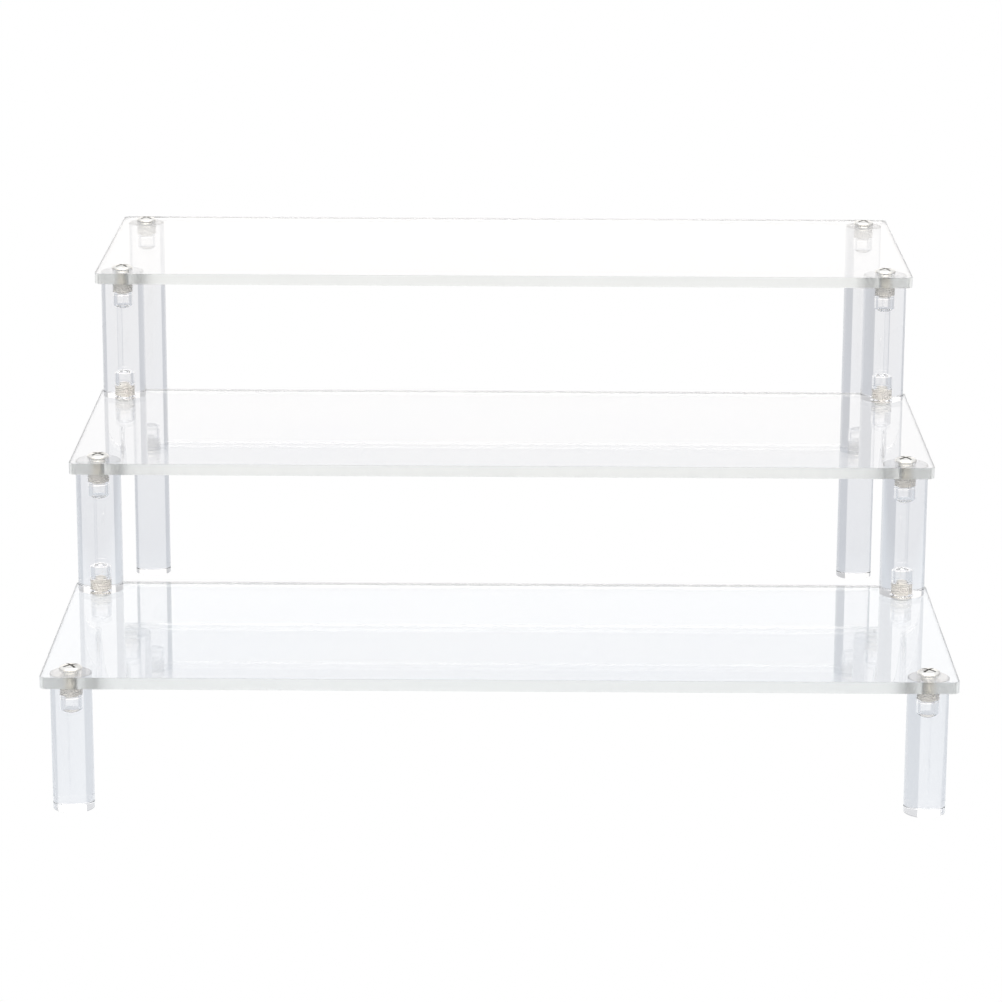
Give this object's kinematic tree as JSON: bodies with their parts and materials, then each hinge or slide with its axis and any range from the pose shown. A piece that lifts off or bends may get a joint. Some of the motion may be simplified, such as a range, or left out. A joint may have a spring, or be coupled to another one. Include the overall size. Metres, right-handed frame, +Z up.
{
  "type": "tiered shelf riser",
  "caption": "Clear acrylic stepped display riser: rectangular shelves overlap like stairs on solid round rods, held by pan-head screws.",
  "frame": {"origin": "on the ground under the centre of the riser's overall width and depth", "axes": "+Z up; -Y towards the front, where the lowest shelf is; +X along the shelves, to the right seen from the front"},
  "size_m": [0.305, 0.304, 0.1473],
  "materials": {
    "clear_sheet": "clear cast acrylic sheet, polished faces, fine saw-polished edges",
    "clear_rod": "clear extruded acrylic rod, glossy, faced ends",
    "nickel_screw": "nickel-plated steel, bright, slightly warm"
  },
  "bodies": {
    "root": {"front_leg_left": "clear_rod", "front_leg_right": "clear_rod", "lower_riser_left": "clear_rod", "lower_riser_right": "clear_rod", "lower_shelf": "clear_sheet", "middle_shelf": "clear_sheet", "rear_leg_left": "clear_rod", "rear_leg_right": "clear_rod", "screw_lower_front_left": "nickel_screw", "screw_lower_front_right": "nickel_screw", "screw_lower_rear_left": "nickel_screw", "screw_lower_rear_right": "nickel_screw", "screw_middle_front_left": "nickel_screw", "screw_middle_front_right": "nickel_screw", "screw_middle_rear_left": "nickel_screw", "screw_middle_rear_right": "nickel_screw", "screw_upper_front_left": "nickel_screw", "screw_upper_front_right": "nickel_screw", "screw_upper_rear_left": "nickel_screw", "screw_upper_rear_right": "nickel_screw", "upper_riser_left": "clear_rod", "upper_riser_right": "clear_rod", "upper_shelf": "clear_sheet"}
  },
  "joints": []
}
